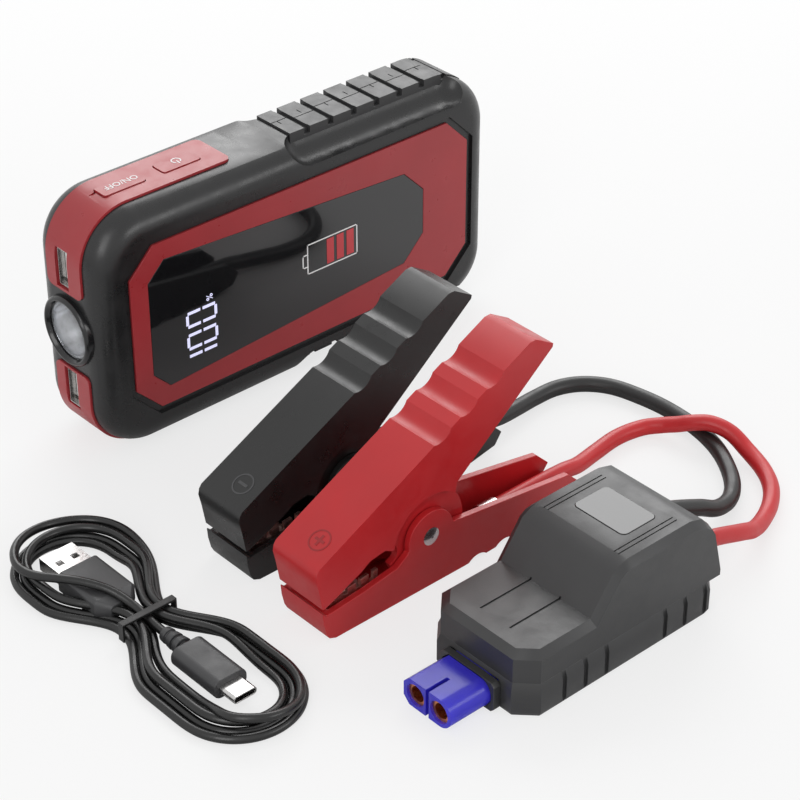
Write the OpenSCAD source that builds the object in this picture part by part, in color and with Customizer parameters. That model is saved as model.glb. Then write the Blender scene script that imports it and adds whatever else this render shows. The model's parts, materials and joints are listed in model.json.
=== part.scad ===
// Car jump starter kit: a power pack, its jump leads with a smart box and two clamps, and a charging cable.
// +X runs along the pack towards its socket end, -Y is the display side, +Z is up.
// The origin is the middle of the kit's footprint, on the surface that it stands on.

/* [Layout] */
// Length of the footprint, from the clamp noses to the pack's socket end
kit_l = 175; // [172:1:190]
// Width of the footprint, from the smart box to the pack's rear face
kit_w = 213; // [211:1:230]
// Distance from the smart box's near side to the middle of the red clamp
red_clamp_y = 74.3; // [70:0.1:78]
// Distance between the middles of the two clamps
clamp_pitch = 36.1; // [34:0.1:44]
// How far the smart box's front lies behind the clamp noses
box_setback = 20.4; // [18:0.1:24]

/* [Pack] */
// Overall length of the pack
pack_l = 166; // [160:1:172]
// Overall height of the pack, standing on its long edge
pack_h = 86.8; // [84:0.1:92]
// Overall thickness of the pack
pack_t = 35.4; // [34:0.1:38]
// Corner radius of the pack in front view
corner_r = 19; // [17:0.5:21]
// Radius that rounds the front and rear edges of the shells
edge_r = 9; // [7:0.5:9.5]
// Distance of the seam between the shells from the pack's middle
seam_y = 1; // [0:0.1:2]
// How far the trims and grips stand out of the shells
proud = 0.8; // [0.5:0.1:1.2]
// Thickness of the shells' front and rear walls
shell_wall = 3.6; // [3.2:0.1:4]
// Thickness of the shells' solid ends
end_wall = 4.5; // [4:0.1:5]
// Thickness of the shells' top and bottom bumpers
bumper = 9.8; // [9:0.1:11]

/* [Face] */
// Length of the red face frame
face_l = 142.6; // [138:0.1:146]
// Height of the red face frame
face_h = 59.5; // [56:0.1:62]
// Size of the face frame's cut corners
face_cut = 9.5; // [7:0.1:12]
// Thickness of the face frame
face_t = 1.6; // [1.2:0.1:1.8]
// Width of the groove around the face frame
face_groove = 2.2; // [1.5:0.1:2.6]
// Depth of the face frame below the shell's front
face_sink = 0.4; // [0.2:0.1:0.8]
// Length of the display window
window_l = 115.8; // [110:0.1:118]
// Height of the window at the torch end
window_h1 = 46.8; // [44:0.1:49]
// Height of the window at the socket end
window_h2 = 34.6; // [30:0.1:40]
// Cut corners of the window at the torch end
window_cut1 = 6.5; // [4:0.1:8]
// Cut corners of the window at the socket end
window_cut2 = 8.8; // [6:0.1:10]
// Distance from the face frame's torch-end edge to the window
window_x = 6.8; // [5:0.1:9]
// Thickness of the window pane
window_t = 1.3; // [1:0.1:1.5]

/* [Grips] */
// Distance of the grips' start from the pack's middle
grip_x = 1.8; // [0:0.1:4]
// Length of the grips
grip_l = 74.6; // [70:0.1:76]
// Width of the grips
grip_w = 17; // [15:0.1:18]
// Thickness of the grips
grip_t = 3.6; // [3:0.1:4.2]
// Distance between the grip's cross grooves
groove_pitch = 10; // [9:0.1:11]
// Distance from the grip's start to the first cross groove
groove_start = 7.2; // [5:0.1:9]
// Width of a cross groove
groove_w = 2; // [1:0.1:2.6]
// Depth of a cross groove
groove_d = 1.2; // [0.6:0.1:1.6]
// Radius of the long scoops beside the grips
scoop_r = 8.3; // [7:0.1:9]
// Length of the long scoops, over their round ends
scoop_l = 77.4; // [70:0.1:80]

/* [Trims and buttons] */
// Width of the red trims
trim_w = 18; // [17:0.1:19]
// Thickness of the red trims
trim_t = 2.2; // [2:0.1:2.6]
// Reach of the upper trim along the top, from the torch end
trim_top_l = 60.4; // [58:0.1:66]
// Reach of the lower trim along the bottom, from the torch end
trim_bottom_l = 24; // [22:0.1:30]
// Distance from the pack's middle height to each trim
trim_gap = 14.2; // [13.5:0.1:16]
// Corner radius at the ends of the trims
trim_r = 2.5; // [1.5:0.1:3]
// Length of the power button
power_l = 14.5; // [12:0.1:15]
// Length of the ON/OFF button
onoff_l = 15.7; // [12:0.1:16]
// Width of the buttons
button_w = 6.3; // [5:0.1:7]
// Travel of the buttons
button_travel = 0.6; // [0.4:0.1:0.8]
// Distance from the torch end to the middle of the ON/OFF button
onoff_x = 23.4; // [22:0.1:25]
// Distance from the torch end to the middle of the power button
power_x = 45.5; // [43:0.1:47]
// Gap around a button in the trim
button_gap = 0.3; // [0.2:0.05:0.5]

/* [Torch] */
// Outer radius of the torch bezel
bezel_r = 12; // [11:0.1:12.5]
// Inner radius of the torch bezel
bezel_bore_r = 9.6; // [8.5:0.1:10]
// How far the bezel stands out of the pack's end
bezel_proud = 1.4; // [0.8:0.1:2]
// Depth of the reflector
reflector_d = 10; // [8:0.1:11]

/* [Ports] */
// Distance of the USB-A ports from the torch's axis
port_dz = 22; // [21:0.1:23]
// Distance of the USB-A ports from the pack's middle, towards the rear
port_y = 0.9; // [0:0.1:1]
// Radius of the pack socket's contact pins
pin_r = 2.5; // [2.3:0.05:2.6]
// Distance between the two contacts of socket and plug
pin_pitch = 9.6; // [9.4:0.1:10.6]
// Width of the plug that the socket takes
plug_w = 19.4; // [18.8:0.1:20.4]
// Height of the plug that the socket takes
plug_h = 9.5; // [9:0.1:10]
// Clearance around the plug in the socket
plug_clear = 0.3; // [0.2:0.05:0.4]
// Depth of the pack's socket
socket_d = 15; // [13:0.1:17]
// Length of the socket cover
cover_l = 44; // [42:0.1:48]
// Width of the socket cover
cover_w = 15.4; // [15:0.1:16.4]
// Thickness of the socket cover
cover_t = 2; // [1.6:0.1:2.4]

/* [Smart box] */
// Length of the smart box
box_l = 81; // [78:0.1:86]
// Width of the smart box
box_w = 42.1; // [40:0.1:46]
// Cut corners of the smart box in plan
box_cut = 5.9; // [4:0.1:7]
// Height of the base's upright wall
base_h = 9; // [8:0.1:10]
// Height of the seam between base and cover
seam_h = 11.6; // [11:0.1:13]
// How far the cover stands back from the base
cover_inset = 0.9; // [0.5:0.1:1.4]
// Height of the low deck
deck_h = 22; // [21:0.1:24]
// Height of the hump
hump_h = 36; // [33:0.1:40]
// Width of the bevels along the cover's edges
bevel = 2.2; // [1.5:0.1:3]
// Wall thickness of the smart box
box_wall = 2; // [1.6:0.1:2.4]
// Distance of each lead from the smart box's middle
lead_dy = 9.5; // [8:0.1:11]
// Height of the leads where they leave the smart box
lead_z = 15.4; // [15:0.1:17]

/* [Leads] */
// Diameter of the clamp leads
lead_d = 5.4; // [4.8:0.1:5.6]
// Outer radius of the glands at the smart box
gland_r = 4.2; // [3.6:0.1:4.4]

/* [Clamps] */
// Width of a clamp
clamp_w = 19.4; // [18.6:0.1:21]
// Width of the lower handle at its rear end
clamp_tail_w = 16; // [15:0.1:18]
// Height of the pivot above the floor
pivot_z = 18.2; // [17.5:0.1:19]
// Distance from the nose to the pivot
nose_l = 44.2; // [43:0.1:46]
// Wall thickness of the clamp halves
clamp_wall = 2.2; // [1.8:0.1:2.4]
// Radius of the lower half's round ears
ear_r = 8.8; // [8:0.1:9.4]
// Radius of the recess around the ears
recess_r = 14.7; // [13:0.1:15]
// Radius of the pivot rivet
rivet_r = 2.2; // [1.8:0.1:2.4]
// Radius of the rivet's heads
rivet_head_r = 3; // [2.8:0.1:3.6]
// Running clearance of the upper half on the rivet
pivot_play = 0.05; // [0.02:0.01:0.09]
// Slope of the upper half's back
back_angle = 27; // [26:0.5:28]
// Opening angle of the clamps
clamp_open = 30; // [25:1:32]
// Number of finger scoops on each handle
scoops = 3; // [2:1:3]
// Distance between the finger scoops
finger_pitch = 11.6; // [10.5:0.1:12]
// Depth of the finger scoops
finger_d = 1.4; // [1:0.1:1.6]
// Thickness of the copper jaw plates
jaw_t = 1.2; // [1:0.1:1.5]

/* [Charging cable] */
// Diameter of the charging cable
cable_d = 2.8; // [2.4:0.1:3]
// Overall width of the wound bundle
bundle_w = 40; // [38:0.5:42]
// Width of the band of strands around each loop
band_w = 8.6; // [8.4:0.1:9]
// Height of the wound bundle
bundle_h = 5.8; // [5.6:0.1:6.6]

/* [Hidden] */
$fn = 64;
over = 1;             // how far a cut runs past a face
seat = 0.1;           // gap of a piece in its seat
end_x = -pack_l / 2;  // the pack's torch end, in the pack's own frame
far_x = pack_l / 2;   // the pack's socket end
mid_z = pack_h / 2;
pack_at = [kit_l / 2 - pack_l / 2, kit_w / 2 - pack_t / 2, 0];
box_at = [-kit_l / 2 + box_setback, -kit_w / 2, 0];
red_at = [-kit_l / 2 + nose_l, -kit_w / 2 + red_clamp_y, pivot_z];
floor_z = -pivot_z;   // the floor, in a clamp's own frame
clamp_floor = 2.6;    // thickness of the lower half's floor
crimp_x = 29;         // front end of the crimp, in a clamp's own frame
crimp_l = 7;
crimp_r = lead_d / 2 + 0.7;
clamp_lead_z = clamp_floor + crimp_r + seat;    // height of a lead in its clamp
black_at = red_at + [1, clamp_pitch, 0];

// ---------- shared shapes ----------

// A rectangle about the origin with true round corners
module round_rect(l, w, r) {
    square([l, w - 2 * r], center = true);
    square([l - 2 * r, w], center = true);
    for (x = [-1, 1], y = [-1, 1])
        translate([x * (l / 2 - r), y * (w / 2 - r)]) circle(r = r);
}

// A rectangle about the origin with its corners cut at 45 degrees
module cut_rect(l, w, c) {
    polygon([[l / 2, c - w / 2], [l / 2, w / 2 - c], [l / 2 - c, w / 2], [c - l / 2, w / 2],
        [-l / 2, w / 2 - c], [-l / 2, c - w / 2], [c - l / 2, -w / 2], [l / 2 - c, -w / 2]]);
}

// Stands a flat outline up in the XZ plane and makes it w deep along Y, about y = 0
module sideways(w) {
    rotate([90, 0, 0]) linear_extrude(w, center = true) children();
}

// Stands a flat outline up in the YZ plane and makes it l long along +X
module lengthways(l) {
    rotate([90, 0, 90]) linear_extrude(l) children();
}

// Half section of a rounded edge, from a corner's axis out to reach
module edge_section(reach, round, depth) {
    translate([0, round]) square([reach, depth - round]);
    square([reach - round, round]);
    translate([reach - round, 0]) intersection() {
        translate([0, round]) circle(r = round);
        square([round, round]);
    }
}

// A slab with round corners whose face at z = 0 has a rolled edge
module rolled_slab(l, w, r, round, depth) {
    for (k = [0:3]) {
        x = k == 0 || k == 3 ? l / 2 - r : r - l / 2;
        y = k < 2 ? w / 2 - r : r - w / 2;
        translate([x, y, 0]) rotate([0, 0, 90 * k])
            rotate_extrude(angle = 90) edge_section(r, round, depth);
    }
    for (s = [0, 180]) {
        rotate([0, 0, s]) translate([l / 2 - r, w / 2 - r, 0]) rotate([90, 0, 0])
            linear_extrude(w - 2 * r) edge_section(r, round, depth);
        rotate([0, 0, s + 90]) translate([w / 2 - r, l / 2 - r, 0]) rotate([90, 0, 0])
            linear_extrude(l - 2 * r) edge_section(r, round, depth);
    }
    translate([r - l / 2, r - w / 2, 0]) cube([l - 2 * r, w - 2 * r, depth]);
}

// A cylinder with round ends along X, total length l
module capsule(l, r) {
    rotate([0, 90, 0]) rotate_extrude() intersection() {
        union() {
            square([2 * r, l - 2 * r], center = true);
            for (s = [-1, 1]) translate([0, s * (l / 2 - r)]) circle(r = r);
        }
        translate([0, -l / 2]) square([r, l]);
    }
}

// ---------- power pack, in its own frame: origin at its base's centre ----------

module in_pack() {
    translate(pack_at) children();
}

module shell_half(depth) {
    translate([proud / 2, 0, 0])
        rolled_slab(pack_l - proud, pack_h - 2 * proud, corner_r - proud, edge_r, depth);
}

// Inside of the closed shells, between the bosses of the screws
cavity_r = 10;
module cavity() {
    translate([0, 0, mid_z]) sideways(pack_t - 2 * shell_wall) difference() {
        round_rect(pack_l - 2 * end_wall, pack_h - 2 * bumper, cavity_r);
        for (p = screw_at) translate([p[0], p[2] - mid_z]) circle(r = boss_r);
    }
}

// Ring section under the pack's outline, t thick, from which trims and grips are cut
module outline_ring(t, w) {
    translate([0, 0, mid_z]) sideways(w) difference() {
        round_rect(pack_l, pack_h, corner_r);
        round_rect(pack_l - 2 * t, pack_h - 2 * t, corner_r - t);
    }
}

// Space that a trim fills: along the end for end_l from the corner, and along the top or bottom
module trim_body(top, reach, gap) {
    s = top ? 1 : -1;
    w = trim_w + 2 * gap;
    corner = corner_r - 4;
    end_l = mid_z - trim_gap + gap;
    intersection() {
        outline_ring(trim_t + gap, w);
        translate([0, 0, mid_z]) mirror([0, 0, top ? 0 : 1]) union() {
            translate([end_x + reach / 2 - 20, 0, mid_z - corner])
                linear_extrude(corner + over) round_rect(reach + 40 + 2 * gap, w, trim_r);
            translate([end_x - over, 0, mid_z - end_l / 2 + 20]) lengthways(corner + over)
                round_rect(w, end_l + 40, trim_r);
        }
    }
}

button_z = pack_h - trim_t - 2;        // underside of the buttons' flanges
module button_hole(x, l) {
    translate([end_x + x, 0, pack_h - trim_t - over])
        linear_extrude(trim_t + 2 * over) round_rect(l + 2 * button_gap, button_w + 2 * button_gap, 1.2);
}

module port_cut(z, margin) {
    translate([end_x - over, port_y, z]) lengthways(end_wall + proud + 3 + over)
        square([port_outer_w + 2 * margin, port_outer_h + 2 * margin], center = true);
}

port_outer_w = 5.7;
port_outer_h = 13.1;
port_wall = 0.3;
port_l = 14.5;
port_sink = 0.9;      // how far a port's mouth lies below the trim's face

module trim_upper() {
    color("firebrick") difference() {
        trim_body(true, trim_top_l, 0);
        button_hole(onoff_x, onoff_l);
        button_hole(power_x, power_l);
        port_cut(mid_z + port_dz, 0.35);
        // slit that lets the ON/OFF key's tab flex
        translate([end_x + onoff_x - onoff_l / 2 - 3.4, -1.2 - button_w / 2 + 5.6, pack_h - 1])
            cube([3.4, 1, 1 + over]);
    }
}

module trim_lower() {
    color("firebrick") difference() {
        trim_body(false, trim_bottom_l, 0);
        port_cut(mid_z - port_dz, 0.35);
    }
}

stem_r = 1.5;
switch_top = pack_h - bumper - 0.9;     // top of the switches' plungers
module push_button(x, l) {
    flange = 0.8;
    difference() {
        translate([end_x + x, 0, button_z + button_travel + 0.2])
            linear_extrude(pack_h - trim_t - seat - button_z - button_travel - 0.2)
                round_rect(l + 2 * flange, button_w + 2 * flange, 1);
        outline_ring(trim_t + seat, pack_t);
    }
    translate([end_x + x, 0, 0]) {
        translate([0, 0, button_z + button_travel + 0.3])
            linear_extrude(pack_h - button_z - button_travel) round_rect(l, button_w, 1);
        translate([0, 0, switch_top + button_travel + 0.1])
            cylinder(r = stem_r, h = button_z - switch_top + 0.4);
    }
}

// Pocket in the shells under a button
module button_pocket(x, l) {
    translate([end_x + x, 0, button_z]) linear_extrude(pack_h)
        round_rect(l + 2, button_w + 2, 1);
    translate([end_x + x, 0, mid_z]) cylinder(r = stem_r + 0.4, h = pack_h);
}

module power_button() {
    color("firebrick") push_button(power_x, power_l);
}

module onoff_button() {
    color("firebrick") push_button(onoff_x, onoff_l);
}

// Side-push switches on the circuit board, under the buttons
pcb_y = port_y + port_outer_w / 2 + 0.15;
module button_switches() {
    color("dimgray") for (x = [onoff_x, power_x]) translate([end_x + x, 0, 0]) {
        translate([-3, -2.2, switch_top - 4.6]) cube([6, pcb_y + 2.2, 3.4]);
        translate([0, 0, switch_top - 1.4]) cylinder(r = 1.2, h = 1.4);
    }
}

module window_outline(grow) {
    x1 = -window_l / 2 - grow;
    x2 = window_l / 2 + grow;
    h1 = window_h1 / 2 + grow;
    h2 = window_h2 / 2 + grow;
    c1 = window_cut1;
    c2 = window_cut2;
    polygon([[x1, c1 - h1], [x1, h1 - c1], [x1 + c1, h1], [x2 - c2, h2], [x2, h2 - c2],
        [x2, c2 - h2], [x2 - c2, -h2], [x1 + c1, -h1]]);
}

face_x = (pack_l - proud) / 2 - 12 - face_l / 2 + 1.55;   // middle of the face frame
window_mid = face_x - face_l / 2 + window_x + window_l / 2;
face_y = face_sink - pack_t / 2;                // front of the face frame
module on_face(y, depth) {
    translate([0, y, mid_z]) rotate([90, 0, 0]) mirror([0, 0, 1]) linear_extrude(depth) children();
}

module face_frame() {
    color("firebrick") on_face(face_y, face_t) difference() {
        translate([face_x, 0]) cut_rect(face_l, face_h, face_cut);
        translate([window_mid, 0]) window_outline(0);
    }
}

module display_window() {
    color([0.08, 0.08, 0.1]) on_face(face_y + 0.05, window_t)
        translate([window_mid, 0]) window_outline(-seat);
}

// Backlit number display behind the window
module_l = 36;
module_h = 30;
module_x = window_mid - window_l / 2 + 6 + module_l / 2;
module_t = 3.4;
module display_module() {
    color("black") on_face(face_y + 0.05 + window_t + seat, module_t)
        translate([module_x, 0]) square([module_l, module_h], center = true);
}

// Seats of the face frame, window and display in the front shell
module face_seats() {
    on_face(-pack_t / 2 - over, over + face_sink + 0.7) translate([face_x, 0])
        cut_rect(face_l + 2 * face_groove, face_h + 2 * face_groove, face_cut + 0.6 * face_groove);
    on_face(-pack_t / 2 - over, over + face_sink + face_t) translate([face_x, 0])
        cut_rect(face_l + 2 * seat, face_h + 2 * seat, face_cut);
    on_face(-pack_t / 2 - over, shell_wall + 2 * over) translate([module_x, 0])
        square([module_l + 2 * seat, module_h + 2 * seat], center = true);
}

// Long scoops that leave a lip along the rim beside the grips
scoop_x = grip_x - 6 + scoop_l / 2;
module scoops_cut() {
    for (y = [-1, 1], z = [-1, 1])
        translate([scoop_x, y * (pack_t / 2 - 2), mid_z + z * (mid_z - 0.3)]) capsule(scoop_l, scoop_r);
}

// Shallow waist between the trim and the grip
module waist_cut() {
    for (z = [-1, 1]) translate([grip_x - 9.4, 0, mid_z + z * (mid_z + 38.4)])
        rotate([90, 0, 0]) cylinder(r = 40, h = pack_t + 2 * over, center = true, $fn = 96);
}

module grip_body(top, gap) {
    translate([0, 0, 0]) intersection() {
        outline_ring(grip_t + gap, grip_w + 2 * gap);
        translate([grip_x - gap, -pack_t / 2, top ? mid_z + 4 : -over])
            cube([grip_l + 2 * gap, pack_t, mid_z - 4 + over]);
    }
}

// Cross grooves with a notch at each end, and the staggered joints between the grip's pads
module grip_cuts(top) {
    z = top ? pack_h : 0;
    n = floor((grip_l - groove_start) / groove_pitch + 0.5);
    for (k = [0 : n - 1]) {
        x = grip_x + groove_start + k * groove_pitch;
        translate([x - groove_w / 2, -pack_t / 2, z - groove_d]) cube([groove_w, pack_t, 2 * groove_d]);
        for (s = [-1, 1])
            translate([x - groove_w / 2 - 0.2, s * (grip_w / 2) - 1.5, z - 2 * groove_d])
                cube([groove_w + 0.4, 3, 4 * groove_d]);
    }
    for (k = [0 : n]) {
        x = grip_x + groove_start + (k - 1) * groove_pitch + groove_w / 2;
        l = groove_pitch - groove_w;
        line = 0.35;
        y = k % 2 == 0 ? 0.9 : -0.9;
        translate([x, y, z - line]) cube([l, line, 2 * line]);
        translate([x + l / 2, -y - line, z - line]) cube([line, abs(2 * y) + 2 * line, 2 * line]);
    }
}

module grip_top() {
    color([0.2, 0.2, 0.21]) difference() {
        grip_body(true, 0);
        grip_cuts(true);
    }
}

module grip_bottom() {
    color([0.2, 0.2, 0.21]) difference() {
        grip_body(false, 0);
        grip_cuts(false);
    }
}

// Screws that hold the rear shell to the front one
screw_r = 1.5;
screw_head_r = 2.7;
screw_l = 12;
screw_dz = mid_z - 13.5;
screw_at = [[end_x + 20, 0, mid_z - screw_dz], [end_x + (onoff_x + power_x) / 2, 0, mid_z + screw_dz],
    [far_x - 17, 0, mid_z - screw_dz], [far_x - 17, 0, mid_z + screw_dz]];
boss_r = 3.4;
module screw(l) {
    cylinder(r = screw_r, h = l);
    difference() {
        translate([0, 0, l]) cylinder(r = screw_head_r, h = 1.6);
        translate([0, 0, l + 0.7]) cylinder(r = 1.3, h = 1.6, $fn = 6);
    }
}

module housing_screws() {
    color("silver") for (p = screw_at)
        translate([p[0], pack_t / 2 - 4 - screw_l, p[2]]) rotate([-90, 0, 0]) screw(screw_l);
}

module screw_holes() {
    for (p = screw_at) translate([p[0], 0, p[2]]) {
        translate([0, pack_t / 2 - 4 - screw_l - 0.4, 0]) rotate([-90, 0, 0])
            cylinder(r = screw_r + 0.05, h = screw_l + 1);
        translate([0, pack_t / 2 - 4, 0]) rotate([-90, 0, 0]) cylinder(r = screw_head_r + 0.2, h = 6);
    }
}

cover_x = far_x - cover_t;
socket_z = mid_z - 9.5;
usb_c_z = mid_z + 12;
socket_wall = 1.2;
socket_floor = 2;
usb_c_h = 8.9;
usb_c_w = 3.2;
usb_c_l = 8;
module end_cuts() {
    // recess of the socket cover
    translate([cover_x - seat, 0, mid_z]) lengthways(cover_t + over)
        round_rect(cover_w + 0.6, cover_l + 0.6, 3.3);
    // seat of the socket housing
    translate([cover_x - 0.2 - socket_d - socket_floor - seat, 0, socket_z])
        lengthways(socket_d + socket_floor + over)
            square([plug_h + 2 * (plug_clear + socket_wall + seat), plug_w + 2 * (plug_clear + socket_wall + seat)],
                center = true);
    translate([cover_x - 0.2 - usb_c_l - seat, 0, usb_c_z]) lengthways(usb_c_l + over)
        round_rect(usb_c_w + 2 * seat, usb_c_h + 2 * seat, usb_c_w / 2);
}

module socket_housing() {
    color("mediumblue") translate([cover_x - 0.3 - socket_d - socket_floor, 0, socket_z]) difference() {
        lengthways(socket_d + socket_floor)
            square([plug_h + 2 * (plug_clear + socket_wall), plug_w + 2 * (plug_clear + socket_wall)],
                center = true);
        translate([socket_floor, 0, 0]) lengthways(socket_d + over)
            plug_outline(plug_clear);
        for (s = [-1, 1]) translate([-over, 0, s * pin_pitch / 2])
            rotate([0, 90, 0]) cylinder(r = pin_r + 0.02, h = socket_floor + 2 * over);
    }
}

// Contact pins of the socket, with solder tails behind its floor
pin_l = 9;
module socket_pins() {
    color("goldenrod") for (s = [-1, 1])
        translate([cover_x - 0.3 - socket_d - socket_floor - 3, 0, socket_z + s * pin_pitch / 2])
            rotate([0, 90, 0]) cylinder(r = pin_r, h = pin_l + socket_floor + 3);
}

module usb_c_port() {
    color("silver") translate([cover_x - 0.3 - usb_c_l, 0, usb_c_z]) {
        difference() {
            lengthways(usb_c_l) round_rect(usb_c_w, usb_c_h, usb_c_w / 2 - seat);
            translate([1, 0, 0]) lengthways(usb_c_l) round_rect(usb_c_w - 0.6, usb_c_h - 0.6, usb_c_w / 2 - 0.4);
        }
        translate([0.5, -0.35, -3.1]) cube([6, 0.7, 6.2]);
    }
}

// Rubber cover of the sockets, with two ribs that press into the socket's mouth
module socket_cover() {
    color([0.15, 0.15, 0.15]) difference() {
        translate([cover_x, 0, mid_z]) lengthways(cover_t) round_rect(cover_w, cover_l, 3);
        translate([far_x - 0.6, -cover_w / 2 - over, mid_z - 5]) cube([over, 2.4 + over, 10]);
    }
}

torch_x = end_x - bezel_proud;
module torch_bezel() {
    color([0.1, 0.1, 0.1]) translate([torch_x, 0, mid_z]) rotate([0, 90, 0]) rotate_extrude()
        polygon([[bezel_bore_r, 1.2], [bezel_bore_r + 0.9, 0], [bezel_r - 0.8, 0], [bezel_r, 0.8],
            [bezel_r, 5], [bezel_bore_r, 5]]);
}

module torch_lens() {
    color([0.85, 0.9, 0.95, 0.4]) translate([torch_x, 0, mid_z]) rotate([0, 90, 0]) rotate_extrude()
        intersection() {
            translate([0, 40.8]) circle(r = 40, $fn = 200);
            square([bezel_bore_r - 0.05, 3]);
        }
}

reflector_wall = 0.8;
module torch_reflector() {
    x0 = 3.1;       // front of the reflector, behind the lens
    r1 = bezel_bore_r - 0.1;
    r2 = 3;
    n = 8;
    bowl = [for (i = [0 : n]) let (u = i / n) [r2 + (r1 - reflector_wall - r2) * sqrt(u), x0 + reflector_d * (1 - u)]];
    back = [for (i = [n : -1 : 0]) let (u = i / n)
        [r2 + reflector_wall + (r1 - reflector_wall - r2) * sqrt(u), x0 + reflector_d * (1 - u)]];
    color("silver") translate([torch_x, 0, mid_z]) rotate([0, 90, 0]) rotate_extrude()
        polygon(concat(bowl, back));
}

module torch_led() {
    x = torch_x + 3.1 + reflector_d;
    color("khaki") translate([x, 0, mid_z]) {
        translate([0.1, -5, -5]) cube([1.4, 10, 10]);
        translate([-1.2, -1.6, -1.6]) cube([1.3, 3.2, 3.2]);
        translate([-1.2, 0, 0]) sphere(r = 1.4);
    }
}

module torch_cut() {
    translate([end_x - over, 0, mid_z]) rotate([0, 90, 0])
        cylinder(r = bezel_r + 0.05, h = end_wall + over + 0.5);
}

module usb_port(z) {
    color("silver") translate([end_x + port_sink, port_y, z]) difference() {
        lengthways(port_l) square([port_outer_w, port_outer_h], center = true);
        translate([-over, 0, 0]) lengthways(port_l + over - 1)
            square([port_outer_w - 2 * port_wall, port_outer_h - 2 * port_wall], center = true);
    }
}

module usb_port_upper() {
    usb_port(mid_z + port_dz);
}

module usb_port_lower() {
    usb_port(mid_z - port_dz);
}

module usb_tongues() {
    color("white") for (s = [-1, 1])
        translate([end_x + port_sink + port_l - 1 - 11, port_y + 0.5, mid_z + s * port_dz - 5.55])
            cube([11, 1.84, 11.1]);
}

// Circuit board with a notch for the torch
pcb_t = 1.6;
pcb_x2 = end_x + 62;
module main_pcb() {
    z = mid_z - bumper - 0.6;
    notch = bezel_r + 1;
    color("darkgreen") translate([0, pcb_y, mid_z]) rotate([90, 0, 0]) mirror([0, 0, 1])
        linear_extrude(pcb_t) difference() {
            translate([end_x + end_wall + 4.4, -z]) square([pcb_x2 - end_x - end_wall - 4.4, 2 * z]);
            translate([end_x, -notch]) square([end_wall + 14, 2 * notch]);
            // cut corners, and notches around the bosses
            for (k = [-1, 1]) translate([end_x + end_wall + 4.4, k * z]) rotate(45) square(9, center = true);
            for (p = screw_at) translate([p[0], p[2] - mid_z])
                square([2 * boss_r + 0.6, 2 * boss_r + 0.6], center = true);
        }
}

// Three flat cells on top of each other
cell_l = 84;
cell_t = 8.8;
module battery_cells() {
    l = cover_x - 0.3 - socket_d - socket_floor - 3.5 - pcb_x2 - 1;
    h = pack_h - 2 * bumper - 2;
    color("silver") for (k = [-1, 0, 1])
        translate([pcb_x2 + 1, k * (cell_t + 0.25) - cell_t / 2, mid_z - h / 2]) cube([l, cell_t, h]);
}

module shell_cuts() {
    cavity();
    trim_body(true, trim_top_l, seat);
    trim_body(false, trim_bottom_l, seat);
    grip_body(true, seat);
    grip_body(false, seat);
    scoops_cut();
    waist_cut();
    torch_cut();
    port_cut(mid_z + port_dz, seat);
    port_cut(mid_z - port_dz, seat);
    button_pocket(onoff_x, onoff_l);
    button_pocket(power_x, power_l);
    end_cuts();
    screw_holes();
}

module front_shell() {
    color([0.13, 0.13, 0.14]) difference() {
        translate([0, -pack_t / 2, mid_z]) rotate([90, 0, 0]) mirror([0, 0, 1])
            shell_half(pack_t / 2 + seam_y);
        shell_cuts();
        face_seats();
    }
}

module rear_shell() {
    color([0.13, 0.13, 0.14]) difference() {
        translate([0, pack_t / 2, mid_z]) rotate([90, 0, 0]) shell_half(pack_t / 2 - seam_y);
        shell_cuts();
    }
}

// ---------- smart box, in its own frame: origin at its front near corner on the floor ----------

module in_box() {
    translate(box_at) children();
}

module box_plan(inset) {
    translate([box_l / 2, box_w / 2]) cut_rect(box_l - 2 * inset, box_w - 2 * inset, box_cut - 0.4 * inset);
}

foot = 1;         // bevel under the base
rib_pitch = 8.45;
rib_w = 1.6;
rib_x = [for (x = [15.2, 56.2], k = [0 : 2]) x + k * rib_pitch];
module box_base() {
    color([0.16, 0.16, 0.17]) {
        // screw posts, and two ribs that carry the circuit board
        for (p = box_screw_at) translate([p[0], p[1], box_wall - 0.2]) difference() {
            cylinder(r = 3, h = seam_h - box_wall - 0.6);
            translate([0, 0, -over]) cylinder(r = 1.35, h = seam_h + over);
        }
        for (x = [20, box_l - 20]) translate([x, box_w / 2 - 10, box_wall - 0.2]) cube([1.6, 20, 2.5]);
    }
    color([0.16, 0.16, 0.17]) difference() {
        union() {
            hull() {
                linear_extrude(0.01) box_plan(foot);
                translate([0, 0, 2 * foot]) linear_extrude(base_h - 2 * foot) box_plan(0);
            }
            hull() {
                translate([0, 0, base_h - 0.01]) linear_extrude(0.01) box_plan(0);
                translate([0, 0, seam_h - 0.01]) linear_extrude(0.01) box_plan(cover_inset);
            }
        }
        translate([0, 0, box_wall]) linear_extrude(seam_h) box_plan(cover_inset + box_wall);
        for (x = rib_x, s = [0, 1])
            translate([x - rib_w / 2, s * box_w - 0.9, -over]) cube([rib_w, 1.8, seam_h + 2 * over]);
        translate([-over, box_w / 2 - plug_w / 2, plug_mid_z - plug_h / 2])
            cube([plug_tail + 0.2 + over, plug_w, plug_h]);
        for (p = box_screw_at) translate([p[0], p[1], -over]) {
            cylinder(r = 1.35, h = seam_h);
            cylinder(r = 2.6, h = over + 1.2);
        }
    }
}

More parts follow.
